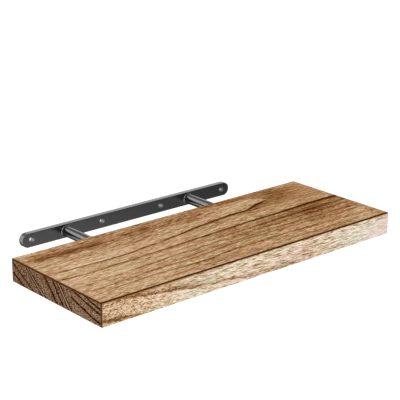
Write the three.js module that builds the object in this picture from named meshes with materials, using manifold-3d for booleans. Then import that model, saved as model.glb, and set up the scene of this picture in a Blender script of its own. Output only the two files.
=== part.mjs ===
// Floating wall shelf: a solid wood board that slides onto two steel rods of a flat wall plate.
// Millimetres. +X runs along the shelf, +Y points into the wall, +Z is up.
// The origin is the middle of the plate's back face, which lies on the wall.
import * as THREE from "three";
import { mergeVertices } from "three/addons/utils/BufferGeometryUtils.js";
import Module from "manifold-3d";

const wasm = await Module();
wasm.setup();

// Board, two staves glued edge to edge
const boardLength = 609.6;
const boardDepth = 228.6;
const boardThickness = 38.1;
const boardCornerRadius = 1.6;
const boardEdgeEase = 1;
const frontStaveDepth = 72.6;

// Wall plate, a flat bar with full-round ends. Insets run from its end to a hole's middle.
const plateLength = 452;
const plateHeight = 24;
const plateThickness = 11;
const plateEdgeChamfer = 0.5;
const screwHoleRadius = 5;
const outerHoleInset = 18.5;
const innerHoleInset = 161.5;

// Rods, each with a spigot that goes through the plate and a fillet weld round its foot.
// The pair stands a little left of the plate's middle.
const rodRadius = 9;
const rodReach = 130;
const leftRodInset = 86.6;
const rightRodInset = 98.6;
const rodTipChamfer = 1.5;
const spigotRadius = 6;
const weldLeg = 1;

// Bores that take the rods, drilled with a common twist drill's point
const drillPointAngle = THREE.MathUtils.degToRad(118);

// Fits
const spigotClearance = 0.3;
const weldClearance = 0.3;
const boreClearance = 0.4;
const boreEndClearance = 2;
const mouthClearance = 0.8;
const recessSideClearance = 0.8;
const recessFloorClearance = 0.3;

// How far the board stands in front of the plate, pulled part of the way off its rods
const restGap = 90;

// Making of the solids
const cutterOverrun = 5;
const mergeTolerance = 0.0005;
const roundSegments = 64;
const cornerSegments = 4;
const easeSegments = 3;
const weldSegments = 5;

// Places that follow from the sizes
const plateFrontY = -plateThickness;
const rodTipY = plateFrontY - rodReach;
const boardBackY = plateFrontY - restGap;
const boardFrontY = boardBackY - boardDepth;
const glueJointY = boardFrontY + frontStaveDepth;
const recessDepth = plateThickness + recessFloorClearance;
const recessFloorY = boardBackY - recessDepth;
const boreRadius = rodRadius + boreClearance;
const boreMouthRadius = rodRadius + weldLeg + mouthClearance;
const boreDepth = plateThickness + rodReach + boreEndClearance;
const rodPlaces = { left: leftRodInset - plateLength / 2, right: plateLength / 2 - rightRodInset };
const screwHoleReaches = [plateLength / 2 - outerHoleInset, plateLength / 2 - innerHoleInset];

const darkSteel = () =>
  new THREE.MeshStandardMaterial({ color: 0x4a4a4a, roughness: 0.45, metalness: 0.85 });
const weldSteel = () =>
  new THREE.MeshStandardMaterial({ color: 0x6a6a6a, roughness: 0.5, metalness: 0.8 });
const warmWood = () =>
  new THREE.MeshStandardMaterial({ color: 0xab845d, roughness: 0.6, metalness: 0 });

// A closed three.js geometry as a solid that can be cut and joined
function toSolid(geometry) {
  const bare = geometry.clone();
  bare.deleteAttribute("normal");
  bare.deleteAttribute("uv");
  const merged = mergeVertices(bare, mergeTolerance);
  return new wasm.Manifold(
    new wasm.Mesh({
      numProp: 3,
      vertProperties: new Float32Array(merged.attributes.position.array),
      triVerts: new Uint32Array(merged.index.array),
    }),
  );
}

// A solid back as a three.js geometry
function toGeometry(solid) {
  const { vertProperties, triVerts } = solid.getMesh();
  const geometry = new THREE.BufferGeometry();
  geometry.setAttribute("position", new THREE.BufferAttribute(vertProperties, 3));
  geometry.setIndex(new THREE.BufferAttribute(triVerts, 1));
  const facets = geometry.toNonIndexed();
  facets.computeVertexNormals();
  return facets;
}

function namedMesh(name, geometry, material) {
  const mesh = new THREE.Mesh(geometry, material);
  mesh.name = name;
  return mesh;
}

// An outline raised from z = 0 to z = thickness, with both rims eased inwards
function raise(outline, thickness, ease, easeSteps, arcSegments) {
  const geometry = new THREE.ExtrudeGeometry(outline, {
    depth: thickness - 2 * ease,
    bevelEnabled: ease > 0,
    bevelThickness: ease,
    bevelSize: ease,
    bevelOffset: -ease,
    bevelSegments: easeSteps,
    curveSegments: arcSegments,
  });
  return geometry.translate(0, 0, ease);
}

// An upright outline of half-round and round arcs, from y = wallY to y = wallY - thickness
function raiseFromWall(outline, wallY, thickness, chamfer) {
  const geometry = raise(outline, thickness, chamfer, 1, roundSegments / 4);
  return geometry.rotateX(Math.PI / 2).translate(0, wallY, 0);
}

function stadium(length, height) {
  const radius = height / 2;
  const reach = length / 2 - radius;
  const outline = new THREE.Shape();
  outline.absarc(reach, 0, radius, -Math.PI / 2, Math.PI / 2);
  outline.absarc(-reach, 0, radius, Math.PI / 2, Math.PI * 1.5);
  return outline;
}

function roundedRectangle(length, depth, radius) {
  const x = length / 2 - radius;
  const y = depth / 2 - radius;
  const outline = new THREE.Shape();
  outline.absarc(x, -y, radius, -Math.PI / 2, 0);
  outline.absarc(x, y, radius, 0, Math.PI / 2);
  outline.absarc(-x, y, radius, Math.PI / 2, Math.PI);
  outline.absarc(-x, -y, radius, Math.PI, Math.PI * 1.5);
  return outline;
}

function roundHole(x, radius) {
  const hole = new THREE.Path();
  hole.absarc(x, 0, radius, 0, Math.PI * 2, true);
  return hole;
}

// A solid turned about the line through x that runs along Y, from points of radius and place
function turned(points, x) {
  const profile = points.map(([radius, y]) => new THREE.Vector2(radius, y));
  return new THREE.LatheGeometry(profile, roundSegments).translate(x, 0, 0);
}

function wallPlate() {
  const outline = stadium(plateLength, plateHeight);
  for (const reach of screwHoleReaches) {
    outline.holes.push(roundHole(-reach, screwHoleRadius));
    outline.holes.push(roundHole(reach, screwHoleRadius));
  }
  for (const x of Object.values(rodPlaces)) {
    outline.holes.push(roundHole(x, spigotRadius + spigotClearance));
  }
  const geometry = raiseFromWall(outline, 0, plateThickness, plateEdgeChamfer);
  return namedMesh("wall_plate", geometry, darkSteel());
}

function rod(side) {
  const profile = [
    [0, rodTipY],
    [rodRadius - rodTipChamfer, rodTipY],
    [rodRadius, rodTipY + rodTipChamfer],
    [rodRadius, plateFrontY],
    [spigotRadius, plateFrontY],
    [spigotRadius, 0],
    [0, 0],
  ];
  return namedMesh(`rod_${side}`, turned(profile, rodPlaces[side]), darkSteel());
}

// A weld's face is a hollow quarter round, from its top edge by the rod to its toe on the plate
function rodWeld(side) {
  const inner = rodRadius + weldClearance;
  const leg = weldLeg - weldClearance;
  const profile = [[inner, plateFrontY]];
  for (let step = 0; step <= weldSegments; step += 1) {
    const turn = (Math.PI / 2) * (step / weldSegments);
    const outwards = leg * (1 - Math.cos(turn));
    const forwards = leg * (1 - Math.sin(turn));
    profile.push([inner + outwards, plateFrontY - forwards]);
  }
  profile.push([inner, plateFrontY]);
  return namedMesh(`rod_weld_${side}`, turned(profile, rodPlaces[side]), weldSteel());
}

function boardBlank() {
  const outline = roundedRectangle(boardLength, boardDepth, boardCornerRadius);
  const middleY = (boardFrontY + boardBackY) / 2;
  const geometry = raise(
    outline,
    boardThickness,
    boardEdgeEase,
    easeSegments,
    cornerSegments,
  );
  return toSolid(geometry.translate(0, middleY, -boardThickness / 2));
}

// A block that holds all of the board between two places along Y
function boardSlice(fromY, toY) {
  const geometry = new THREE.BoxGeometry(
    boardLength + 2 * cutterOverrun,
    toY - fromY,
    boardThickness + 2 * cutterOverrun,
  );
  return toSolid(geometry.translate(0, (fromY + toY) / 2, 0));
}

function plateRecess() {
  const outline = stadium(
    plateLength + 2 * recessSideClearance,
    plateHeight + 2 * recessSideClearance,
  );
  const depth = recessDepth + cutterOverrun;
  return toSolid(raiseFromWall(outline, boardBackY + cutterOverrun, depth, 0));
}

// A blind bore with a drill point, and a countersunk mouth that passes over the rod's weld
function rodBore(x) {
  const pointLength = boreRadius / Math.tan(drillPointAngle / 2);
  const boreEndY = boardBackY - boreDepth;
  const mouthEndY = recessFloorY - (boreMouthRadius - boreRadius);
  const profile = [
    [0, boreEndY - pointLength],
    [boreRadius, boreEndY],
    [boreRadius, mouthEndY],
    [boreMouthRadius, recessFloorY],
    [boreMouthRadius, boardBackY],
    [0, boardBackY],
  ];
  return toSolid(turned(profile, x));
}

function backStave() {
  let stave = boardBlank().intersect(boardSlice(glueJointY, boardBackY + cutterOverrun));
  stave = stave.subtract(plateRecess());
  for (const x of Object.values(rodPlaces)) {
    stave = stave.subtract(rodBore(x));
  }
  return namedMesh("back_stave", toGeometry(stave), warmWood());
}

function frontStave() {
  const stave = boardBlank().intersect(boardSlice(boardFrontY - cutterOverrun, glueJointY));
  return namedMesh("front_stave", toGeometry(stave), warmWood());
}

const bracket = new THREE.Group();
bracket.add(wallPlate());
for (const side of Object.keys(rodPlaces)) {
  bracket.add(rod(side), rodWeld(side));
}

const board = new THREE.Group();
board.add(backStave(), frontStave());

const shelf = new THREE.Group();
shelf.add(bracket, board);

export default shelf;
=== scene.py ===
import math

import bmesh
import bpy
from mathutils import Matrix, Vector
from mathutils.geometry import tessellate_polygon


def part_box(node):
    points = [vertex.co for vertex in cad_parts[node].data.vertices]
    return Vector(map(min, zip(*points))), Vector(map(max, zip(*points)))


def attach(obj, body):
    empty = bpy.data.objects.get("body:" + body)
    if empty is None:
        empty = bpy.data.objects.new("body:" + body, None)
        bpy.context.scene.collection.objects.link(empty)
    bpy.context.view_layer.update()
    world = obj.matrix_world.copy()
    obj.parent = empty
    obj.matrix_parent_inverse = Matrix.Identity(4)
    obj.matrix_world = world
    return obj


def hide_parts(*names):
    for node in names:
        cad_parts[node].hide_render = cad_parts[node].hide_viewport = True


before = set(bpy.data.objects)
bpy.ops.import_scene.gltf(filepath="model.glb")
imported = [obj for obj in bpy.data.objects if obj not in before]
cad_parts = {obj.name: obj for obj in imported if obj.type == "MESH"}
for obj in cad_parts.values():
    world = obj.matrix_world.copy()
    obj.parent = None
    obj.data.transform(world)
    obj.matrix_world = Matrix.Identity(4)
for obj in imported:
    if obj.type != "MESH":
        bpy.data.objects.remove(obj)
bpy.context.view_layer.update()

# A solid wood shelf board, drawn part of the way off the two steel rods of its wall plate.
# Lengths of the model are metres. Inside the wood's shader they are millimetres, counted from
# the board's left end (along), its back edge (across) and its top face (deep).

BACK_LOW, BACK_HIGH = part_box("back_stave")
FRONT_LOW, FRONT_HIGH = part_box("front_stave")
PLATE_LOW, PLATE_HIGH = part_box("wall_plate")
BOARD_LOW = Vector(map(min, BACK_LOW, FRONT_LOW))
BOARD_HIGH = Vector(map(max, BACK_HIGH, FRONT_HIGH))

MM = 0.001
BOARD_LENGTH_MM = (BOARD_HIGH.x - BOARD_LOW.x) / MM
BOARD_DEPTH_MM = (BOARD_HIGH.y - BOARD_LOW.y) / MM
BOARD_THICKNESS_MM = (BOARD_HIGH.z - BOARD_LOW.z) / MM
GLUE_JOINT_MM = (BOARD_HIGH.y - FRONT_HIGH.y) / MM


# Shader fields


def linear(colour):
    """A colour written in 0 to 255, through the sRGB curve, as linear red, green, blue, alpha."""
    shares = [channel / 255 for channel in colour]
    curved = [s / 12.92 if s <= 0.04045 else ((s + 0.055) / 1.055) ** 2.4 for s in shares]
    return (*curved, 1.0)


class Field:
    """A number that varies over a surface, held by the output of a shader node."""

    def __init__(self, graph, socket):
        self.graph = graph
        self.socket = socket

    def __add__(self, other):
        return self.graph.math("ADD", self, other)

    def __radd__(self, other):
        return self.graph.math("ADD", other, self)

    def __sub__(self, other):
        return self.graph.math("SUBTRACT", self, other)

    def __rsub__(self, other):
        return self.graph.math("SUBTRACT", other, self)

    def __mul__(self, other):
        return self.graph.math("MULTIPLY", self, other)

    def __truediv__(self, other):
        return self.graph.math("DIVIDE", self, other)


# Sockets of a Mix node that mixes colours
MIX_FACTOR, MIX_FIRST, MIX_SECOND, MIX_RESULT = 0, 6, 7, 2


class Graph:
    """The shader nodes of one new material."""

    def __init__(self, name):
        self.material = bpy.data.materials.new(name)
        self.material.use_nodes = True
        self.tree = self.material.node_tree
        self.shader = self.tree.nodes["Principled BSDF"]

    def node(self, kind, **settings):
        made = self.tree.nodes.new(kind)
        for name, value in settings.items():
            setattr(made, name, value)
        return made

    def feed(self, socket, value):
        if isinstance(value, Field):
            self.tree.links.new(value.socket, socket)
        elif isinstance(value, bpy.types.NodeSocket):
            self.tree.links.new(value, socket)
        else:
            socket.default_value = value

    def math(self, operation, *values):
        made = self.node("ShaderNodeMath", operation=operation)
        for socket, value in zip(made.inputs, values):
            self.feed(socket, value)
        return Field(self, made.outputs[0])

    def smooth(self, value, low, high):
        """0 below low, 1 above high, and a smooth step between them; low may be above high."""
        made = self.node("ShaderNodeMapRange", interpolation_type="SMOOTHSTEP")
        rising = low < high
        self.feed(made.inputs["Value"], value)
        made.inputs["From Min"].default_value = low if rising else high
        made.inputs["From Max"].default_value = high if rising else low
        made.inputs["To Min"].default_value = 0.0 if rising else 1.0
        made.inputs["To Max"].default_value = 1.0 if rising else 0.0
        return Field(self, made.outputs[0])

    def hill(self, value, width):
        """1 where value is 0, falling away on both sides as a bell of that half width."""
        share = value / width
        return self.math("EXPONENT", share * share * -1.0)

    def blend(self, share, first, second):
        """The first number where share is 0 and the second where it is 1."""
        return first * (1.0 - share) + second * share

    def curve(self, value, shares):
        """A smooth curve through the points of shares, both from 0 to 1."""
        made = self.node("ShaderNodeFloatCurve")
        points = made.mapping.curves[0].points
        while len(points) < len(shares):
            points.new(0.5, 0.5)
        for point, place in zip(points, shares):
            point.location = place
            point.handle_type = "AUTO_CLAMPED"
        made.mapping.update()
        self.feed(made.inputs["Value"], value)
        return Field(self, made.outputs[0])

    def vector(self, x, y, z):
        made = self.node("ShaderNodeCombineXYZ")
        for socket, value in zip(made.inputs, (x, y, z)):
            self.feed(socket, value)
        return made.outputs[0]

    def noise(self, place, detail=2.0, roughness=0.5):
        """Noise about 0, from -0.5 to 0.5, one swell for each unit of place."""
        made = self.node("ShaderNodeTexNoise", noise_dimensions="3D")
        self.feed(made.inputs["Vector"], place)
        made.inputs["Scale"].default_value = 1.0
        made.inputs["Detail"].default_value = detail
        made.inputs["Roughness"].default_value = roughness
        return Field(self, made.outputs[0]) - 0.5

    def noise_over(self, *places, detail=2.0, roughness=0.5):
        """Noise over three places, each given with the size of one swell."""
        place = self.vector(*(place / size for place, size in places))
        return self.noise(place, detail, roughness)

    def ramp(self, tone, stops):
        """A colour for each tone, from stops of tone and colour."""
        made = self.node("ShaderNodeValToRGB")
        elements = made.color_ramp.elements
        while len(elements) < len(stops):
            elements.new(0.5)
        for element, (place, colour) in zip(elements, stops):
            element.position = place
            element.color = linear(colour)
        self.feed(made.inputs[0], tone)
        return made.outputs[0]

    def mix(self, factor, first, second, blend_type="MIX"):
        """The first colour where factor is 0 and the second where it is 1."""
        made = self.node("ShaderNodeMix", data_type="RGBA", blend_type=blend_type)
        self.feed(made.inputs[MIX_FACTOR], factor)
        self.feed(made.inputs[MIX_FIRST], first)
        self.feed(made.inputs[MIX_SECOND], second)
        return made.outputs[MIX_RESULT]

    def tinted(self, colour, tint):
        return self.mix(1.0, colour, tint, "MULTIPLY")

    def bump(self, height, distance, strength):
        made = self.node("ShaderNodeBump")
        made.inputs["Strength"].default_value = strength
        made.inputs["Distance"].default_value = distance
        self.feed(made.inputs["Height"], height)
        self.feed(self.shader.inputs["Normal"], made.outputs[0])

    def coordinates(self, kind):
        source = self.node("ShaderNodeTexCoord")
        split = self.node("ShaderNodeSeparateXYZ")
        self.tree.links.new(source.outputs[kind], split.inputs[0])
        return [Field(self, socket) for socket in split.outputs]

    def places(self):
        """The surface's own x, y and z in metres, which move with its body."""
        return self.coordinates("Object")

    def facing(self):
        """How far the surface faces +X, +Y and +Z, from -1 to 1."""
        return self.coordinates("Normal")


# Wood


class BoardGraph(Graph):
    """The wood's shader, which knows where on the board it is."""

    def __init__(self, name):
        super().__init__(name)
        x, y, z = self.places()
        self.along = (x - BOARD_LOW.x) / MM
        self.across = (BOARD_HIGH.y - y) / MM
        self.deep = (BOARD_HIGH.z - z) / MM
        self.share_along = self.along / BOARD_LENGTH_MM

    def over_length(self, points, highest):
        """A value that changes along the board, from points of millimetres and value."""
        shares = [(x / BOARD_LENGTH_MM, value / highest) for x, value in points]
        return self.curve(self.share_along, shares) * highest

    def fibres(self, across, length, width, seed, detail=2.0, roughness=0.5):
        """Noise drawn out along the board; the seed tells one such noise from the others."""
        place = self.vector(self.along / length + seed, across / width, self.deep / width)
        return self.noise(place, detail, roughness)

    def front_strokes(self, height, length, width, seed=0.0, roughness=0.6):
        """The same on the front face, where the width of a stroke is measured up and down."""
        place = self.vector(self.along / length + seed, self.across, height / width)
        return self.noise(place, roughness=roughness)

    def patch(self, first, second, spot):
        """A soft oval of another tone round a spot's middle."""
        first_middle, second_middle, first_reach, second_reach, change = spot
        first_share = (first - first_middle) / first_reach
        second_share = (second - second_middle) / second_reach
        distance = first_share * first_share + second_share * second_share
        return self.math("EXPONENT", distance * -1.0) * change

    def patches(self, first, second, spots, plain=0.0):
        """Many patches, added to a plain value."""
        total = plain
        for spot in spots:
            total = total + self.patch(first, second, spot)
        return total


# Tones run from 0, the darkest growth line, to 1, the palest wood.
FLAT_GRAIN_COLOURS = (
    (0.0, (66, 32, 6)),
    (0.2, (108, 66, 28)),
    (0.38, (141, 98, 56)),
    (0.6, (176, 136, 96)),
    (0.82, (207, 174, 139)),
    (1.0, (238, 211, 182)),
)
EDGE_FACE_COLOURS = (
    (0.0, (110, 72, 38)),
    (0.2, (150, 116, 81)),
    (0.38, (182, 152, 120)),
    (0.6, (211, 187, 158)),
    (0.82, (234, 214, 194)),
    (1.0, (252, 238, 226)),
)
END_GRAIN_COLOURS = (
    (0.0, (46, 12, 0)),
    (0.2, (82, 41, 12)),
    (0.38, (110, 71, 39)),
    (0.6, (141, 104, 74)),
    (0.82, (174, 140, 114)),
    (1.0, (208, 175, 149)),
)
DARK_ARRIS_COLOUR = (72, 38, 2)
WARM_ARRIS_COLOUR = (150, 100, 44)
WASHED_COLOUR = (226, 218, 211)
PLAIN_TINT = (255, 255, 255)
WARM_END_TINT = (255, 241, 231)
RED_TINT = (255, 247, 244)
OLIVE_TINT = (251, 255, 245)
REDDER_TINT = (255, 243, 250)


class Line:
    """A growth line of the top, with the brown wood that fades away in front of it as its tail.

    The course, in millimetres from the back edge, and the darkness are points along the board.
    """

    def __init__(self, course, darkness, tail_share=0.45, tail_width=7.0):
        self.course = course
        self.darkness = darkness
        self.tail_share = tail_share
        self.tail_width = tail_width


CATHEDRAL = Line(
    ((0, 90), (30, 94), (80, 97), (130, 98), (190, 92), (240, 86), (300, 76), (345, 69),
     (400, 65), (430, 64), (452, 57), (475, 50), (503, 44), (560, 40), (610, 38)),
    ((0, 0.18), (120, 0.34), (220, 0.28), (300, 0.36), (430, 0.42), (485, 0.28), (506, 0.0),
     (610, 0.0)),
    tail_share=0.70, tail_width=13.0,
)
OTHER_LINES = (
    Line(((0, 120), (50, 124), (100, 123), (200, 119), (300, 114), (400, 109), (500, 107),
          (560, 104), (610, 106)),
         ((0, 0.28), (250, 0.32), (420, 0.46), (520, 0.56), (610, 0.58)),
         tail_width=20.0),
    Line(((0, 147), (60, 144), (150, 139), (250, 135), (330, 133), (400, 132), (470, 128),
          (610, 128)),
         ((0, 0.06), (250, 0.10), (420, 0.16), (520, 0.08), (610, 0.08))),
    Line(((0, 160), (60, 159), (150, 153), (250, 149), (400, 145), (500, 144), (610, 141)),
         ((0, 0.08), (150, 0.18), (380, 0.20), (470, 0.10), (610, 0.08))),
    Line(((0, 172), (100, 170), (200, 166), (300, 161), (400, 158), (500, 160), (610, 161)),
         ((0, 0.0), (150, 0.06), (300, 0.16), (610, 0.14))),
    Line(((0, 181), (50, 181), (120, 177), (200, 176), (250, 173), (300, 169), (380, 167),
          (450, 169), (520, 172), (610, 176)),
         ((0, 0.12), (200, 0.21), (380, 0.15), (610, 0.10))),
    Line(((0, 200), (60, 194), (140, 192), (190, 195), (225, 196), (260, 190), (320, 188),
          (400, 188), (470, 191), (540, 194), (610, 200)),
         ((0, 0.10), (180, 0.24), (260, 0.28), (420, 0.16), (610, 0.10))),
    Line(((0, 214), (120, 210), (300, 212), (450, 209), (610, 213)),
         ((0, 0.05), (300, 0.08), (610, 0.05))),
)

# The back side of the pale tongue; its front side is the cathedral line.
TONGUE_BACK_SIDE = ((0, 6), (380, 12), (400, 16), (452, 20), (480, 28), (503, 44), (560, 70),
                    (610, 90))
# The course of the fibres between the growth lines
GRAIN_FLOW = ((0, 90), (120, 92), (300, 84), (450, 76), (610, 74))
FLOW_MIDDLE = 80.0

# Broad patches of the top: middle along and across, half length and half width, change of tone
TOP_PATCHES = (
    (38, 30, 20, 11, -0.34),
    (82, 35, 22, 9, -0.34),
    (126, 34, 22, 10, -0.32),
    (168, 37, 10, 6, -0.18),
    (95, 30, 80, 14, -0.05),
    (232, 28, 30, 12, -0.20),
    (300, 26, 60, 14, -0.16),
    (30, 8, 60, 9, 0.06),
    (190, 8, 50, 12, -0.09),
    (320, 12, 56, 10, 0.09),
    (570, 8, 40, 12, 0.06),
    (60, 106, 110, 12, 0.06),
    (110, 92, 150, 13, 0.08),
    (150, 58, 180, 15, -0.12),
    (110, 206, 50, 14, 0.05),
    (110, 140, 170, 18, 0.12),
    (150, 186, 120, 14, 0.04),
    (422, 9, 60, 13, -0.31),
    (570, 84, 60, 16, -0.06),
    (488, 62, 50, 18, -0.14),
    (490, 168, 50, 16, -0.09),
    (535, 134, 70, 18, -0.23),
    (525, 132, 30, 10, -0.18),
    (430, 132, 90, 15, -0.10),
    (560, 205, 100, 8, 0.05),
    (600, 182, 40, 12, 0.10),
    (250, 208, 60, 12, -0.10),
    (480, 216, 60, 9, -0.06),
)

# The darker wood that the pale tongue points into, written as the patches are
PAST_TONGUE = (532, 28, 58, 34, -0.32)

# Calmer wood, where the streaks are fainter, written the same way
CALM_PLACES = (
    (545, 58, 80, 44, -0.4),
    (95, 32, 80, 13, -0.4),
)

# Redder wood beside the board's back edge, written the same way
REDDER_PLACE = (120, 33, 170, 13, 1.0)

# A growth line's dark core: how far it lies in front of its course, its half width at the
# left end, the share that it gains by the right end, and how dark it is. The brown tail rises
# between two places about the course.
CORE_OFFSET = 1.2
CORE_WIDTH = 2.0
CORE_WIDENING = 0.8
CORE_DARKNESS = 1.3
TAIL_RISE = (-1.2, 0.8)


def growth_line(wood, across, line, course):
    """How much a growth line darkens the wood: sharp on its back side, brown on its front side."""
    past = across - course
    darkness = wood.over_length(line.darkness, 1.0)
    widening = wood.share_along * CORE_WIDENING + 1.0
    core = wood.hill((past - CORE_OFFSET) / widening, CORE_WIDTH) * CORE_DARKNESS
    fade = wood.math("EXPONENT", wood.math("MAXIMUM", past, 0.0) * (-1.0 / line.tail_width))
    tail = wood.smooth(past, *TAIL_RISE) * fade
    return (core + tail * line.tail_share) * darkness


# How far the growth lines sway and jitter about their courses, and the patches' outlines
SWAY_MM = 4.0
JITTER_MM = 1.2
PATCH_SWAY_ALONG_MM = 22.0
PATCH_SWAY_ACROSS_MM = 8.0

TOP_TONE = 0.75
TOP_FALL_TO_RIGHT = 0.13
BACK_STRIP_DARKNESS = 0.14
TONGUE_PALENESS = 0.07
PATCH_STREAKS = 0.7

# Where parts of the top fade in, in millimetres from none to full
BACK_STRIP_ACROSS = (56.0, 36.0)
BACK_STRIP_ALONG = (460.0, 320.0)
PAST_TONGUE_SIDE = (-2.0, 3.0)
BEFORE_CATHEDRAL = (-1.0, 3.0)
TONGUE_ALONG = (330.0, 470.0)
FLOW_FROM_BACK = (-20.0, 60.0)
FLOW_FROM_FRONT = (215.0, 60.0)
FRONT_PART_ACROSS = (110.0, 180.0)


def ragged_patches(wood, wavy):
    """The top's broad patches, with ragged outlines and streaks in them."""
    across = wood.across
    sway_along = wood.fibres(across, length=90.0, width=44.0, seed=8.2) * PATCH_SWAY_ALONG_MM
    sway_across = wood.fibres(across, length=60.0, width=26.0, seed=17.0) * PATCH_SWAY_ACROSS_MM
    patches = wood.patches(wood.along + sway_along, wavy + sway_across, TOP_PATCHES)
    streaks = wood.fibres(wavy, length=48.0, width=4.0, seed=23.0, roughness=0.6)
    return patches * (streaks * PATCH_STREAKS + 1.0)


def flat_tone(wood, wavy):
    """The top's darker back strip, pale tongue, patches and growth lines."""
    along = wood.along
    cathedral = wood.over_length(CATHEDRAL.course, BOARD_DEPTH_MM)
    tongue_side = wood.over_length(TONGUE_BACK_SIDE, BOARD_DEPTH_MM)
    back_strip = wood.smooth(wavy, *BACK_STRIP_ACROSS) * wood.smooth(along, *BACK_STRIP_ALONG)
    past_side = wood.smooth(wavy - tongue_side, *PAST_TONGUE_SIDE)
    in_tongue = past_side * wood.smooth(cathedral - wavy, *BEFORE_CATHEDRAL)
    tone = TOP_TONE - wood.share_along * TOP_FALL_TO_RIGHT
    tone = tone - back_strip * BACK_STRIP_DARKNESS
    tone = tone + in_tongue * wood.smooth(along, *TONGUE_ALONG) * TONGUE_PALENESS
    tone = tone + wood.patch(along, wavy, PAST_TONGUE) * (1.0 - in_tongue)
    tone = tone + ragged_patches(wood, wavy)
    tone = tone - growth_line(wood, wavy, CATHEDRAL, cathedral)
    for line in OTHER_LINES:
        course = wood.over_length(line.course, BOARD_DEPTH_MM)
        tone = tone - growth_line(wood, wavy, line, course)
    return tone


# Strengths of the top's texture, and how much of them is lost in its front part
BROAD_STRENGTH = 0.30
BROAD_LOSS = 0.14
STRAND_STRENGTH = 0.92
STRAND_LOSS = 0.2
FLECK_STRENGTH = 1.27
FINE_STRENGTH = 1.65
DASH_DARKNESS = 0.16
DASH_RISE = (0.08, 0.20)
STROKE_SLANT = 0.03


def flat_texture(wood, drawn, in_front_part):
    """Fibres, flecks and dark dashes of the top, fainter in its calm places."""
    slanted = drawn + wood.along * STROKE_SLANT
    broad = wood.fibres(drawn, length=130.0, width=9.0, seed=11.0, detail=3.0, roughness=0.6)
    strands = wood.fibres(drawn, length=60.0, width=3.2, seed=5.0)
    flecks = wood.fibres(slanted, length=19.0, width=2.3, seed=9.0, roughness=0.6)
    dashes = wood.fibres(slanted, length=26.0, width=3.2, seed=21.0, detail=1.0)
    fine = wood.fibres(drawn, length=8.0, width=0.95, seed=13.0, roughness=0.6)
    broad_part = broad * (BROAD_STRENGTH - in_front_part * BROAD_LOSS)
    strand_part = strands * (STRAND_STRENGTH - in_front_part * STRAND_LOSS)
    texture = broad_part + strand_part + flecks * FLECK_STRENGTH + fine * FINE_STRENGTH
    darkest = wood.smooth(dashes, *DASH_RISE)
    calm = wood.patches(wood.along, wood.across, CALM_PLACES, plain=1.0)
    return (texture - darkest * DASH_DARKNESS) * calm


# How far the growth lines come forwards for each millimetre deeper, and how much of their
# jitter the fibres between them follow
RING_LEAN = 0.75
FIBRE_JITTER = 0.3
FRONT_PART_DARKNESS = 0.02
TOP_LIFT = 0.02


def flat_grain(wood):
    """Tone of the board's top and underside."""
    across = wood.across
    level = across - wood.deep * RING_LEAN
    sway = wood.fibres(across, length=60.0, width=16.0, seed=3.1) * SWAY_MM
    jitter = wood.fibres(across, length=9.0, width=4.0, seed=6.4) * JITTER_MM
    wavy = level + sway + jitter
    near_cathedral = wood.smooth(across, *FLOW_FROM_FRONT) * wood.smooth(across, *FLOW_FROM_BACK)
    flow = wood.over_length(GRAIN_FLOW, BOARD_DEPTH_MM)
    drawn = level + sway + jitter * FIBRE_JITTER - (flow - FLOW_MIDDLE) * near_cathedral
    in_front_part = wood.smooth(across, *FRONT_PART_ACROSS)
    tone = flat_tone(wood, wavy) + flat_texture(wood, drawn, in_front_part)
    return tone - in_front_part * FRONT_PART_DARKNESS + TOP_LIFT


# The dark line that slants down the front face from its top left corner
EDGE_LINE = ((0, 0), (20, 0), (50, 5), (100, 12), (150, 17), (180, 22), (225, 25), (260, 28),
             (300, 30), (370, 34), (450, 38), (610, 38))

# Broad patches of the front face: middle along and deep, half length and height, change
EDGE_PATCHES = (
    (560, 26, 60, 12, 0.12),
    (408, 28, 26, 1.8, -0.16),
    (200, 20, 70, 16, 0.10),
    (530, 7, 44, 6, -0.12),
    (430, 31, 90, 9, -0.05),
    (22, 24, 26, 22, -0.10),
    (84, 10, 24, 12, 0.10),
    (128, 13, 26, 13, 0.12),
    (180, 10, 24, 10, -0.08),
    (178, 33, 26, 7, 0.10),
    (228, 12, 24, 13, -0.14),
    (280, 16, 28, 12, 0.07),
    (328, 33, 40, 6, -0.07),
    (480, 22, 26, 16, 0.07),
)
EDGE_TONE = 0.585
EDGE_LIFT = 0.13
WEDGE_DARKNESS = 0.38
EDGE_LINE_DARKNESS = 0.34
EDGE_LINE_WIDTH = 2.1

# Where parts of the front face fade in, in millimetres from none to full
WEDGE_OVER_LINE = (-1.0, 0.8)
WEDGE_UNDER_TOP = (15.0, 2.0)
WEDGE_ALONG = (250.0, 130.0)
EDGE_LINE_ALONG = (470.0, 330.0)
LOW_BAND_ALONG = (95.0, 45.0)
HATCH_ALONG = (175.0, 95.0)
CRISPER_ALONG = (440.0, 580.0)
SOFTER_ALONG = (260.0, 160.0)
WARMER_ALONG = (190.0, 60.0)
WASHED_ALONG = (440.0, 580.0)
WASHED_LESS_DEEP = (13.0, 5.0)

# The brown band low on the front face's left corner, which sinks to the right
LOW_BAND_START = 29.0
LOW_BAND_SLOPE = 0.10
LOW_BAND_WIDTH = 3.4
LOW_BAND_DARKNESS = 0.50


def edge_tone(wood, line, wander):
    """The front's brown wedge over its slanting line, the line itself and the low band."""
    along, deep = wood.along, wood.deep
    above = line - deep - wander * 0.5
    brown = wood.smooth(above, *WEDGE_OVER_LINE) * wood.smooth(above, *WEDGE_UNDER_TOP)
    wedge = brown * wood.smooth(along, *WEDGE_ALONG)
    core = wood.hill(above, EDGE_LINE_WIDTH) * wood.smooth(along, *EDGE_LINE_ALONG)
    below_band = deep - along * LOW_BAND_SLOPE - LOW_BAND_START + wander * 0.4
    band = wood.hill(below_band, LOW_BAND_WIDTH) * wood.smooth(along, *LOW_BAND_ALONG)
    tone = EDGE_TONE - wedge * WEDGE_DARKNESS - core * EDGE_LINE_DARKNESS
    return tone - band * LOW_BAND_DARKNESS


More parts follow.
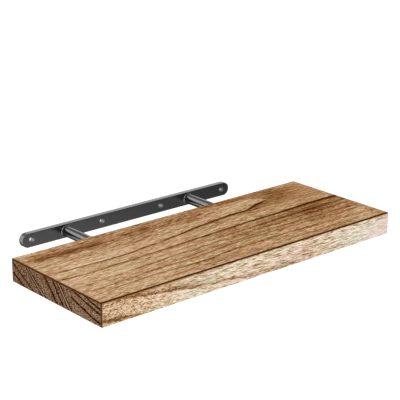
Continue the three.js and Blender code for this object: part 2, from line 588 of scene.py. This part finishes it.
HATCH_RISE = 0.5
HATCH_FALL = 0.4
HATCH_STRENGTH = 0.70
SLANTED_STRENGTH = 0.40


def edge_strokes(wood, level):
    """Short crossed strokes in the front face's left part and long ones in the rest of it."""
    rising = wood.deep + wood.along * HATCH_RISE
    falling = wood.deep - wood.along * HATCH_FALL
    hatch_up = wood.front_strokes(rising, length=4.8, width=1.5)
    hatch_down = wood.front_strokes(falling, length=4.8, width=1.5, seed=9.0)
    slanted = wood.front_strokes(level, length=24.0, width=2.2, roughness=0.5)
    short = (hatch_up + hatch_down) * HATCH_STRENGTH + slanted * SLANTED_STRENGTH
    long = wood.front_strokes(level, length=17.0, width=1.0)
    in_left_part = wood.smooth(wood.along, *HATCH_ALONG)
    return wood.blend(in_left_part, long, short)


STROKE_STRENGTH = 1.9
DARKEST_STROKES = (0.0, -0.16)
DARKEST_STRENGTH = 0.36
STREAK_STRENGTH = 0.25
EDGE_FINE_STRENGTH = 1.4
CRISPER_GAIN = 1.1
SOFTER_LOSS = 0.12


def edge_grain(wood):
    """Tone of the pale, flecked front face."""
    wander = wood.fibres(wood.across, length=40.0, width=9.0, seed=7.7) * SWAY_MM
    line = wood.over_length(EDGE_LINE, BOARD_THICKNESS_MM)
    level = wood.deep - line * 0.8 + wander * 0.3
    strokes = edge_strokes(wood, level)
    darkest = wood.smooth(strokes, *DARKEST_STROKES)
    streaks = wood.front_strokes(level, length=60.0, width=5.0, seed=5.0, roughness=0.5)
    fine = wood.front_strokes(level, length=6.0, width=0.9, seed=2.0)
    texture = strokes * STROKE_STRENGTH - darkest * DARKEST_STRENGTH
    texture = texture + streaks * STREAK_STRENGTH + fine * EDGE_FINE_STRENGTH
    crisper = wood.smooth(wood.along, *CRISPER_ALONG) * CRISPER_GAIN
    softer = wood.smooth(wood.along, *SOFTER_ALONG) * SOFTER_LOSS
    patches = wood.patches(wood.along, wood.deep + wander * 0.3, EDGE_PATCHES)
    tone = edge_tone(wood, line, wander) + texture * (crisper - softer + 1.0)
    return tone + patches + EDGE_LIFT


class Ring:
    """A growth ring on the end of the board.

    It meets the top at start, falls by slope for each millimetre towards the front, and is a
    pale ring where its darkness is below 0.
    """

    def __init__(self, start, slope, darkness, width=1.2):
        self.start = start
        self.slope = slope
        self.darkness = darkness
        self.width = width


BACK_RINGS = (
    Ring(-40, 0.50, 0.70, 1.5),
    Ring(-8, 0.55, 0.50, 1.3),
    Ring(36, 0.80, 0.74),
    Ring(38.7, 0.78, -0.60, 1.0),
    Ring(41.5, 0.76, 0.74),
    Ring(86, 1.08, 0.44, 3.0),
    Ring(107, 1.26, 0.60, 1.7),
    Ring(117.5, 1.18, 0.70, 1.3),
    Ring(121, 1.16, -0.85, 1.0),
    Ring(124.5, 1.15, 0.74, 1.3),
)
FRONT_RINGS = (
    Ring(106, 0.29, 1.00, 1.35),
    Ring(152, 0.27, 0.95, 1.2),
    Ring(184, 0.29, 0.90, 1.1),
)

# How the ends' texture lies: the shares of across and of deep in the back stave, and of across
# in the front one, whose rings come nearly level beside the front face.
BACK_GRAIN = (0.62, 0.70)
FRONT_GRAIN = 0.28
LEVELLING_ACROSS = (206.0, 234.0)
LEVELLING_MM = 9.0

END_TONE = 0.64
FRONT_STAVE_PALENESS = 0.08
BACK_CORNER_DARKNESS = 0.06
BACK_CORNER_ACROSS = (100.0, 30.0)
END_BAND_STRENGTH = 0.4
END_PORE_STRENGTH = 2.3
END_FINE_STRENGTH = 3.3
RING_DARKNESS = 1.35
JOINT_BLUR = 0.2
JOINT_WIDTH = 0.6
JOINT_DARKNESS = 0.25


def rings_tone(wood, rings, across, deep):
    """How much some rings darken the end of the board."""
    total = 0.0
    for ring in rings:
        past = (across - ring.start) * ring.slope - deep
        level = past * (1.0 / math.sqrt(1.0 + ring.slope * ring.slope))
        total = total + wood.hill(level, ring.width) * ring.darkness
    return total


def end_grain(wood):
    """Tone of the board's two ends."""
    along, across, deep = wood.along, wood.across, wood.deep
    wander = wood.noise_over((along, 30.0), (across, 16.0), (deep, 12.0)) * SWAY_MM
    jitter = wood.noise_over((along, 30.0), (across, 3.0), (deep, 3.0)) * JITTER_MM
    moved = across + wander + jitter
    in_front = wood.smooth(across, GLUE_JOINT_MM - JOINT_BLUR, GLUE_JOINT_MM + JOINT_BLUR)
    levelling = wood.smooth(across, *LEVELLING_ACROSS) * LEVELLING_MM
    back_lines = rings_tone(wood, BACK_RINGS, moved, deep)
    front_lines = rings_tone(wood, FRONT_RINGS, moved - levelling, deep)
    lines = wood.blend(in_front, back_lines, front_lines)
    back_grain = moved * BACK_GRAIN[0] - deep * BACK_GRAIN[1]
    ring = wood.blend(in_front, back_grain, moved * FRONT_GRAIN - deep)
    cross = across + deep
    bands = wood.noise_over((ring, 3.0), (along, 60.0), (cross, 30.0), detail=3.0, roughness=0.6)
    pores = wood.noise_over((ring, 1.3), (along, 3.0), (cross, 12.0), detail=3.0, roughness=0.7)
    fine = wood.noise_over((across, 2.6), (along, 3.0), (deep, 1.6), detail=1.5, roughness=0.6)
    joint = wood.hill(across - GLUE_JOINT_MM, JOINT_WIDTH) * JOINT_DARKNESS
    back_corner = wood.smooth(across, *BACK_CORNER_ACROSS) * BACK_CORNER_DARKNESS
    tone = END_TONE + in_front * FRONT_STAVE_PALENESS - back_corner
    tone = tone + bands * END_BAND_STRENGTH + pores * END_PORE_STRENGTH
    return tone + fine * END_FINE_STRENGTH - lines * RING_DARKNESS - joint


def nearness(wood, first, second, strength=1.0):
    """The strength on an arris, falling to 0 at the reach along either face.

    The first and the second are each a distance from the arris and its reach, in millimetres.
    """
    first_share = first[0] / first[1]
    second_share = second[0] / second[1]
    distance = wood.math("POWER", first_share * first_share + second_share * second_share, 0.5)
    return wood.smooth(distance, 1.0, 0.5) * strength


def warm_arrises(wood):
    """Nearness to the front and left arrises, where the wood turns warm before it turns dark."""
    from_front = BOARD_DEPTH_MM - wood.across
    top_reach = wood.smooth(wood.along, 210.0, 150.0) * 1.4 + 2.6
    front = nearness(wood, (from_front, 2.6), (wood.deep, top_reach), strength=0.6)
    left = nearness(wood, (wood.along, 3.6), (wood.deep, 4.0), strength=0.45)
    upright = nearness(wood, (wood.along, 3.6), (from_front, 4.4), strength=0.6)
    return wood.math("MAXIMUM", front, wood.math("MAXIMUM", left, upright))


def darkest_arrises(wood):
    """Nearness to the board's arrises, which are drawn darkest."""
    along, across, deep, share = wood.along, wood.across, wood.deep, wood.share_along
    from_front = BOARD_DEPTH_MM - across
    from_right = BOARD_LENGTH_MM - along
    darkest = nearness(wood, (from_front, share * 0.8 + 4.8), (deep, share * 0.3 + 1.3))
    others = (
        nearness(wood, (along, 1.6), (deep, 2.6), strength=0.9),
        nearness(wood, (from_right, 2.0), (deep, 2.0), strength=0.5),
        nearness(wood, (along, 1.4), (from_front, 2.8), strength=0.85),
        nearness(wood, (along, 2.6), (across, 3.6), strength=0.7),
    )
    for arris in others:
        darkest = wood.math("MAXIMUM", darkest, arris)
    return darkest


WASHED_SHARE = 0.62
WASHED_LOSS_NEAR_TOP = 0.42
TINT_RANGE = (-0.12, 0.12)


def front_colour(wood):
    """The front face, warmer near its left end and washed out near its right end."""
    colour = wood.ramp(edge_grain(wood), EDGE_FACE_COLOURS)
    near_left = wood.smooth(wood.along, *WARMER_ALONG)
    warmth = wood.mix(near_left, linear(PLAIN_TINT), linear(WARM_END_TINT))
    colour = wood.tinted(colour, warmth)
    near_top = wood.smooth(wood.deep, *WASHED_LESS_DEEP)
    near_right = wood.smooth(wood.along, *WASHED_ALONG)
    washed = near_right * (WASHED_SHARE - near_top * WASHED_LOSS_NEAR_TOP)
    return wood.mix(washed, colour, linear(WASHED_COLOUR))


def slow_tint(wood, on_flat):
    """Slow changes of hue over the whole board, and the redder place of the top."""
    warm = wood.fibres(wood.across, length=80.0, width=20.0, seed=31.0)
    tint = wood.mix(wood.smooth(warm, *TINT_RANGE), linear(OLIVE_TINT), linear(RED_TINT))
    redder = wood.patch(wood.along, wood.across, REDDER_PLACE) * on_flat
    return wood.mix(redder, tint, linear(REDDER_TINT))


# How far a surface has to face one way before it begins to count, and to count in full
FACING_PARTLY = 0.55
FACING_FULLY = 0.8
WOOD_ROUGHNESS = 0.66
PORE_ROUGHNESS = 0.25
PORE_HEIGHT = 0.6
BACK_STREAK_STRENGTH = 1.4
BACK_TONE = 0.5


def board_wood():
    wood = BoardGraph("board_wood")
    to_right, to_wall, up = wood.facing()
    on_flat = wood.smooth(wood.math("ABSOLUTE", up), FACING_PARTLY, FACING_FULLY)
    on_end = wood.smooth(wood.math("ABSOLUTE", to_right), FACING_PARTLY, FACING_FULLY)
    on_front = wood.smooth(to_wall, -FACING_PARTLY, -FACING_FULLY)

    back = wood.fibres(wood.across, length=60.0, width=3.0, seed=2.0, detail=3.0, roughness=0.6)
    colour = wood.ramp(back * BACK_STREAK_STRENGTH + BACK_TONE, FLAT_GRAIN_COLOURS)
    colour = wood.mix(on_flat, colour, wood.ramp(flat_grain(wood), FLAT_GRAIN_COLOURS))
    colour = wood.mix(on_front, colour, front_colour(wood))
    colour = wood.mix(on_end, colour, wood.ramp(end_grain(wood), END_GRAIN_COLOURS))
    colour = wood.tinted(colour, slow_tint(wood, on_flat))
    colour = wood.mix(warm_arrises(wood), colour, linear(WARM_ARRIS_COLOUR))
    colour = wood.mix(darkest_arrises(wood), colour, linear(DARK_ARRIS_COLOUR))
    wood.feed(wood.shader.inputs["Base Color"], colour)

    pores = wood.fibres(wood.across, length=10.0, width=0.6, seed=1.0, roughness=0.6)
    wood.feed(wood.shader.inputs["Roughness"], pores * PORE_ROUGHNESS + WOOD_ROUGHNESS)
    wood.shader.inputs["Specular IOR Level"].default_value = 0.0
    wood.bump(pores * PORE_HEIGHT, distance=0.0004, strength=0.3)
    return wood.material


# Steel

CLOUD_SIZE_MM = 18.0
GRIT_SIZE_MM = 0.7
SQUARE_TO_WALL = (0.72, 0.96)


def dark_steel(name, shaded_face, lit_edge, roughness, variation):
    """Dark steel, with a painted highlight on its rims, top and ends and painted shade on its
    faces, with cloudiness and fine grit.

    The face grey, for surfaces square to the wall, is painted shade, and the edge grey, for the
    rims, top, ends and hole walls, is a painted highlight; both are greys from 0 to 255, which
    vary by the variation's share.
    """
    graph = Graph(name)
    _to_right, to_wall, _up = graph.facing()
    on_shaded_face = graph.smooth(graph.math("ABSOLUTE", to_wall), *SQUARE_TO_WALL)
    in_mm = [axis / MM for axis in graph.places()]
    clouds = graph.noise_over(*((p, CLOUD_SIZE_MM) for p in in_mm), detail=3.0, roughness=0.6)
    grit = graph.noise_over(*((p, GRIT_SIZE_MM) for p in in_mm), roughness=0.6)
    tone = clouds + grit * 0.5 + 0.5
    tones = []
    for base in (lit_edge, shaded_face):
        deep = linear([base * (1 - variation)] * 3)
        pale = linear([base * (1 + variation)] * 3)
        tones.append(graph.mix(tone, deep, pale))
    # Painted shade on the faces square to the wall, painted highlight on the other surfaces
    graph.feed(graph.shader.inputs["Base Color"], graph.mix(on_shaded_face, tones[0], tones[1]))
    graph.feed(graph.shader.inputs["Roughness"], clouds * 0.08 + grit * 0.04 + roughness)
    graph.shader.inputs["Metallic"].default_value = 1.0
    graph.bump(grit + clouds * 0.4, distance=0.00002, strength=0.1)
    return graph.material


# Meshes

SHARP_ANGLE = math.radians(40)


def face_outwards(mesh):
    shape = bmesh.new()
    shape.from_mesh(mesh)
    bmesh.ops.recalc_face_normals(shape, faces=shape.faces)
    shape.to_mesh(mesh)
    shape.free()


def new_piece(name, vertices, faces, material):
    mesh = bpy.data.meshes.new(name)
    mesh.from_pydata(vertices, [], faces)
    mesh.validate()
    face_outwards(mesh)
    for polygon in mesh.polygons:
        polygon.use_smooth = True
    mesh.set_sharp_from_angle(angle=SHARP_ANGLE)
    piece = bpy.data.objects.new(name, mesh)
    bpy.context.scene.collection.objects.link(piece)
    mesh.materials.append(material)
    level = piece.modifiers.new("flat_faces_stay_flat", "WEIGHTED_NORMAL")
    level.keep_sharp = True
    return piece


# Sizes that the CAD boxes don't give, as they are in the CAD model
SPIGOT_RADIUS = 6 * MM
SPIGOT_HOLE_RADIUS = 6.3 * MM
SCREW_HOLE_RADIUS = 5 * MM
OUTER_HOLE_REACH = 207.5 * MM
INNER_HOLE_REACH = 64.5 * MM

# Finish of the steel's edges
PLATE_EASE = 1.0 * MM
HOLE_EASE = 0.5 * MM
ROD_TIP_EASE = 1.5 * MM
WELD_RIPPLES = 26
WELD_RIPPLE_DEPTH = 0.08
WELD_FLATNESS = 0.55

# Fineness of the round faces
EASE_STEPS = 4
ROUND_STEPS = 96
WELD_SECTION_STEPS = 6
HOLE_TURN_PER_METRE = 0.1


def quarter_turn(steps):
    return [math.pi / 2 * step / steps for step in range(steps + 1)]


def eased_profile(thickness, ease):
    """Points of (inset, depth) from one face of a flat bar to the other, round at both rims."""
    near = [
        (ease * (1 - math.sin(turn)), ease * (1 - math.cos(turn)))
        for turn in quarter_turn(EASE_STEPS)
    ]
    return near + [(inset, thickness - depth) for inset, depth in reversed(near)]


def stadium_loop(inset, length, height):
    radius = height / 2
    reach = length / 2 - radius
    steps = ROUND_STEPS // 2
    points = []
    for side in (1, -1):
        for step in range(steps + 1):
            turn = math.pi * step / steps - math.pi / 2
            x = side * (reach + (radius - inset) * math.cos(turn))
            z = side * (radius - inset) * math.sin(turn)
            points.append((x, z))
    return points


def circle_loop(inset, middle, radius):
    """A hole's rim. Each starts at a turn of its own, so that no points of two holes line up."""
    points = []
    for step in range(ROUND_STEPS):
        turn = middle * HOLE_TURN_PER_METRE - 2 * math.pi * step / ROUND_STEPS
        x = middle + (radius + inset) * math.cos(turn)
        z = (radius + inset) * math.sin(turn)
        points.append((x, z))
    return points


def wall_plate_piece(material, hole_places, hole_radii):
    """The flat bar, with softly broken rims round its outline and its holes."""
    size = PLATE_HIGH - PLATE_LOW
    rim = eased_profile(size.y, PLATE_EASE)
    hole_rim = eased_profile(size.y, HOLE_EASE)
    walls = [[(stadium_loop(inset, size.x, size.z), depth) for inset, depth in rim]]
    for middle, radius in zip(hole_places, hole_radii):
        walls.append([(circle_loop(inset, middle, radius), depth) for inset, depth in hole_rim])
    vertices, faces, rims = [], [], []
    for wall in walls:
        rings = []
        for loop, depth in wall:
            rings.append(range(len(vertices), len(vertices) + len(loop)))
            vertices += [(x, PLATE_LOW.y + depth, z) for x, z in loop]
        for near, far in zip(rings, rings[1:]):
            for here in range(len(near)):
                after = (here + 1) % len(near)
                faces.append((near[here], near[after], far[after], far[here]))
        rims.append((rings[0], rings[-1]))
    for end in (0, 1):
        loops = [[Vector(vertices[i]) for i in ends[end]] for ends in rims]
        order = [i for ends in rims for i in ends[end]]
        for triangle in tessellate_polygon(loops):
            faces.append(tuple(order[i] for i in triangle))
    return new_piece("plate", vertices, faces, material)


def turned_piece(name, profile, middle, material):
    """A solid turned about a line along Y through middle, from points of (radius, y)."""
    vertices, faces = [], []
    for radius, y in profile:
        for step in range(ROUND_STEPS):
            turn = 2 * math.pi * step / ROUND_STEPS
            vertices.append((middle + radius * math.cos(turn), y, radius * math.sin(turn)))
    for ring in range(len(profile) - 1):
        near = ring * ROUND_STEPS
        far = near + ROUND_STEPS
        for here in range(ROUND_STEPS):
            after = (here + 1) % ROUND_STEPS
            faces.append((near + here, near + after, far + after, far + here))
    faces.append(tuple(range(ROUND_STEPS)))
    faces.append(tuple(reversed(range(len(vertices) - ROUND_STEPS, len(vertices)))))
    return new_piece(name, vertices, faces, material)


def round_node(node):
    """A round CAD node's middle along X and its radius."""
    low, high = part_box(node)
    return (low.x + high.x) / 2, (high.x - low.x) / 2


def rod_piece(side, material):
    middle, radius = round_node(f"rod_{side}")
    low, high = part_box(f"rod_{side}")
    profile = []
    for turn in quarter_turn(EASE_STEPS):
        inset = ROD_TIP_EASE * (1 - math.sin(turn))
        depth = ROD_TIP_EASE * (1 - math.cos(turn))
        profile.append((radius - inset, low.y + depth))
    profile += [(radius, PLATE_LOW.y), (SPIGOT_RADIUS, PLATE_LOW.y), (SPIGOT_RADIUS, high.y)]
    return turned_piece(f"rod_{side}_turned", profile, middle, material)


def weld_section():
    """A fillet's face, from its top edge to its toe, as shares of its leg: out and forwards."""
    hollowness = 1 - WELD_FLATNESS
    points = []
    for part, bend in enumerate(quarter_turn(WELD_SECTION_STEPS)):
        out = hollowness * (1 - math.cos(bend)) + WELD_FLATNESS * part / WELD_SECTION_STEPS
        share_left = 1 - part / WELD_SECTION_STEPS
        forwards = hollowness * (1 - math.sin(bend)) + WELD_FLATNESS * share_left
        points.append((out, forwards))
    return points


def weld_piece(side, material):
    """A fillet bead with the ripples that a weld leaves as it goes round."""
    _rod_middle, inner = round_node(f"rod_{side}")
    middle, toe = round_node(f"rod_weld_{side}")
    _low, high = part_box(f"rod_weld_{side}")
    leg = toe - inner
    section = weld_section()
    turns = 2 * ROUND_STEPS
    vertices, faces = [], []
    for step in range(turns):
        turn = 2 * math.pi * step / turns
        ripple = 1 - WELD_RIPPLE_DEPTH * (0.5 + 0.5 * math.cos(WELD_RIPPLES * turn))
        for out, forwards in section:
            radius = inner + leg * ripple * out
            y = high.y - leg * ripple * forwards
            vertices.append((middle + radius * math.cos(turn), y, radius * math.sin(turn)))
        x = middle + inner * math.cos(turn)
        vertices.append((x, high.y, inner * math.sin(turn)))
    ring = len(section) + 1
    for step in range(turns):
        here = step * ring
        beside = (step + 1) % turns * ring
        for part in range(ring):
            after = (part + 1) % ring
            faces.append((here + part, here + after, beside + after, beside + part))
    return new_piece(f"rod_{side}_weld_bead", vertices, faces, material)


def make_bracket():
    # The plate is painted darker on its faces square to the wall, as painted shade, and lighter on
    # its rims, top, ends and hole walls, as a painted highlight
    plate_steel = dark_steel("plate_steel", shaded_face=76, lit_edge=140, roughness=0.24, variation=0.02)
    rod_steel = dark_steel("rod_steel", shaded_face=146, lit_edge=146, roughness=0.09, variation=0.02)
    weld_steel = dark_steel("weld_steel", shaded_face=136, lit_edge=136, roughness=0.25, variation=0.05)
    sides = ("left", "right")
    screw_holes = [-OUTER_HOLE_REACH, -INNER_HOLE_REACH, INNER_HOLE_REACH, OUTER_HOLE_REACH]
    spigot_holes = [round_node(f"rod_{side}")[0] for side in sides]
    radii = [SCREW_HOLE_RADIUS] * len(screw_holes) + [SPIGOT_HOLE_RADIUS] * len(spigot_holes)
    plate = wall_plate_piece(plate_steel, screw_holes + spigot_holes, radii)
    stand_in(plate, "wall_plate", "bracket")
    for side in sides:
        stand_in(rod_piece(side, rod_steel), f"rod_{side}", "bracket")
        stand_in(weld_piece(side, weld_steel), f"rod_weld_{side}", "bracket")


def stand_in(piece, node, body):
    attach(piece, body)
    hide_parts(node)


def dress_board():
    wood = board_wood()
    for node in ("back_stave", "front_stave"):
        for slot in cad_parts[node].material_slots:
            slot.material = wood


# Camera, light and floor

CAMERA_AZIMUTH = math.radians(-41.228)
CAMERA_ELEVATION = math.radians(18.522)
CAMERA_ROLL = math.radians(0.466)
FOCAL_PIXELS = 1265.0
PHOTO_PIXELS = 400
SENSOR_WIDTH = 36.0
CAMERA_FROM_CORNER = Vector((-0.9736, -1.3189, 0.7013))


def make_camera():
    """Placed from the front left top corner of the board, looking as the photograph does."""
    level_share = math.cos(CAMERA_ELEVATION)
    back = Vector((
        math.sin(CAMERA_AZIMUTH) * level_share,
        -math.cos(CAMERA_AZIMUTH) * level_share,
        math.sin(CAMERA_ELEVATION),
    ))
    right = (-back).cross(Vector((0, 0, 1))).normalized()
    up = back.cross(right)
    turned_right = right * math.cos(CAMERA_ROLL) + up * math.sin(CAMERA_ROLL)
    turned_up = up * math.cos(CAMERA_ROLL) - right * math.sin(CAMERA_ROLL)
    data = bpy.data.cameras.new("camera")
    data.sensor_width = SENSOR_WIDTH
    data.lens = FOCAL_PIXELS / PHOTO_PIXELS * SENSOR_WIDTH
    camera = bpy.data.objects.new("camera", data)
    axes = Matrix((turned_right, turned_up, back)).transposed().to_4x4()
    corner = Vector((BOARD_LOW.x, BOARD_LOW.y, BOARD_HIGH.z))
    camera.matrix_world = Matrix.Translation(corner + CAMERA_FROM_CORNER) @ axes
    bpy.context.scene.collection.objects.link(camera)
    bpy.context.scene.camera = camera


def ray_share(tree, names):
    """1 for rays of any of those kinds and 0 for the rest."""
    light_path = tree.nodes.new("ShaderNodeLightPath")
    total = light_path.outputs[names[0]]
    for name in names[1:]:
        add = tree.nodes.new("ShaderNodeMath")
        add.operation = "MAXIMUM"
        tree.links.new(total, add.inputs[0])
        tree.links.new(light_path.outputs[name], add.inputs[1])
        total = add.outputs[0]
    return total


def map_range(tree, value, from_range, to_range):
    """A smooth step from the first value of to_range to the second, each a number or socket."""
    made = tree.nodes.new("ShaderNodeMapRange")
    made.interpolation_type = "SMOOTHSTEP"
    tree.links.new(value, made.inputs["Value"])
    made.inputs["From Min"].default_value, made.inputs["From Max"].default_value = from_range
    for name, end in zip(("To Min", "To Max"), to_range):
        if isinstance(end, bpy.types.NodeSocket):
            tree.links.new(end, made.inputs[name])
        else:
            made.inputs[name].default_value = end
    return made.outputs[0]


WORLD_LIGHT = 0.68
CEILING_SEEN_IN_METAL = 0.25

# Where the ceiling that the metal sees begins, in the parts of a direction: its left border,
# its height, and how far towards the front that height comes lower, and by how much.
CEILING_LEFT_BORDER = (-0.3, -0.1)
CEILING_HEIGHT = (0.38, 0.52)
CEILING_FRONT = (-0.2, -0.8)
CEILING_LOWERED = 0.3


def make_world():
    """White where it is seen, darker overhead in the metal, and an even soft light elsewhere."""
    world = bpy.data.worlds.new("studio")
    bpy.context.scene.world = world
    world.use_nodes = True
    tree = world.node_tree
    background = tree.nodes["Background"]
    background.inputs["Color"].default_value = (1, 1, 1, 1)
    direction = tree.nodes.new("ShaderNodeTexCoord")
    split = tree.nodes.new("ShaderNodeSeparateXYZ")
    tree.links.new(direction.outputs["Generated"], split.inputs[0])
    to_right, to_wall, up = split.outputs
    ceiling = map_range(tree, to_right, CEILING_LEFT_BORDER, (1.0, CEILING_SEEN_IN_METAL))
    lowered = map_range(tree, to_wall, CEILING_FRONT, (0.0, CEILING_LOWERED))
    height = tree.nodes.new("ShaderNodeMath")
    height.operation = "ADD"
    tree.links.new(up, height.inputs[0])
    tree.links.new(lowered, height.inputs[1])
    in_metal = map_range(tree, height.outputs[0], CEILING_HEIGHT, (1.0, ceiling))
    glossy = ray_share(tree, ["Is Glossy Ray"])
    indirect = map_range(tree, glossy, (0, 1), (WORLD_LIGHT, in_metal))
    seen = ray_share(tree, ["Is Camera Ray", "Is Transmission Ray"])
    strength = map_range(tree, seen, (0, 1), (indirect, 1.0))
    tree.links.new(strength, background.inputs["Strength"])


FLOOR_DROP = 1.2
FLOOR_HALF = 14.0
FLOOR_PALENESS = 0.8
FLOOR_LIFT_SEEN = 0.55
FLOOR_LIFT_IN_METAL = 0.45

# Parts of the floor that the metal sees painted darker or paler, as painted shade: where each
# begins and is full, in metres
FLOOR_BEHIND = (-1.4, -0.2)
FLOOR_FAR_BEHIND = (1.95, 2.5)
FLOOR_LEFT = (-0.5, -1.1)
FLOOR_FAR_LEFT = (-1.5, -2.4)
FLOOR_FAR_RIGHT = (1.8, 2.6)


def painted_floor_shade_in_metal(graph):
    """How bright the metal sees the floor, as painted shade: a painted shadow behind the shelf,
    lighter on the left and far behind, and painted darkness far to the right.
    """
    x, y, _z = graph.places()
    behind = graph.smooth(y, *FLOOR_BEHIND)
    from_left = graph.smooth(x, *FLOOR_LEFT) * 0.45 + graph.smooth(x, *FLOOR_FAR_LEFT) * 0.5 + 0.05
    far_right = graph.smooth(x, *FLOOR_FAR_RIGHT) * 0.75
    far_behind = graph.smooth(y, *FLOOR_FAR_BEHIND) * 0.4
    paler = graph.math("MAXIMUM", from_left, far_behind)
    return (1.0 - behind * (1.0 - paler)) * (1.0 - far_right)


def pale_floor():
    """White where it is seen, so that only the shelf's shadow shows on it; in the metal its colour
    and glow carry painted shade.
    """
    graph = Graph("pale_floor")
    shader = graph.shader
    shader.inputs["Roughness"].default_value = 1.0
    shader.inputs["Specular IOR Level"].default_value = 0.0
    shader.inputs["Emission Color"].default_value = (1, 1, 1, 1)
    painted_floor_light = painted_floor_shade_in_metal(graph)
    glossy = Field(graph, ray_share(graph.tree, ["Is Glossy Ray"]))
    seen = Field(graph, ray_share(graph.tree, ["Is Camera Ray", "Is Transmission Ray"]))
    # For glossy rays the floor's colour and glow follow the painted shade, dark behind the shelf:
    # a painted reflection
    shade = (1.0 - glossy * (1.0 - painted_floor_light)) * FLOOR_PALENESS
    graph.feed(shader.inputs["Base Color"], graph.vector(shade, shade, shade))
    lift = graph.math("MAXIMUM", seen * FLOOR_LIFT_SEEN, glossy * painted_floor_light * FLOOR_LIFT_IN_METAL)
    graph.feed(shader.inputs["Emission Strength"], lift)
    return graph.material


def make_floor():
    height = BOARD_LOW.z - FLOOR_DROP
    half = FLOOR_HALF
    corners = [(-half, -half, height), (half, -half, height), (half, half, height),
               (-half, half, height)]
    mesh = bpy.data.meshes.new("floor")
    mesh.from_pydata(corners, [], [(0, 1, 2, 3)])
    mesh.materials.append(pale_floor())
    floor = bpy.data.objects.new("floor", mesh)
    bpy.context.scene.collection.objects.link(floor)


def area_light(name, place, target, size, power):
    data = bpy.data.lights.new(name, "AREA")
    data.shape = "DISK"
    data.size = size
    data.energy = power
    light = bpy.data.objects.new(name, data)
    light.location = place
    light.rotation_euler = (Vector(target) - Vector(place)).to_track_quat("-Z", "Y").to_euler()
    bpy.context.scene.collection.objects.link(light)
    return light


def make_lights():
    middle = (0, (BOARD_LOW.y + BOARD_HIGH.y) / 2, 0)
    front = area_light("front_softbox", (1.4, -2.6, 1.5), target=middle, size=1.6, power=44)
    front.visible_glossy = False
    area_light("top_softbox", (0.4, 0.6, 2.6), target=middle, size=1.8, power=13)


bpy.context.scene.view_settings.view_transform = "Standard"
make_camera()
make_world()
make_floor()
make_lights()
make_bracket()
dress_board()
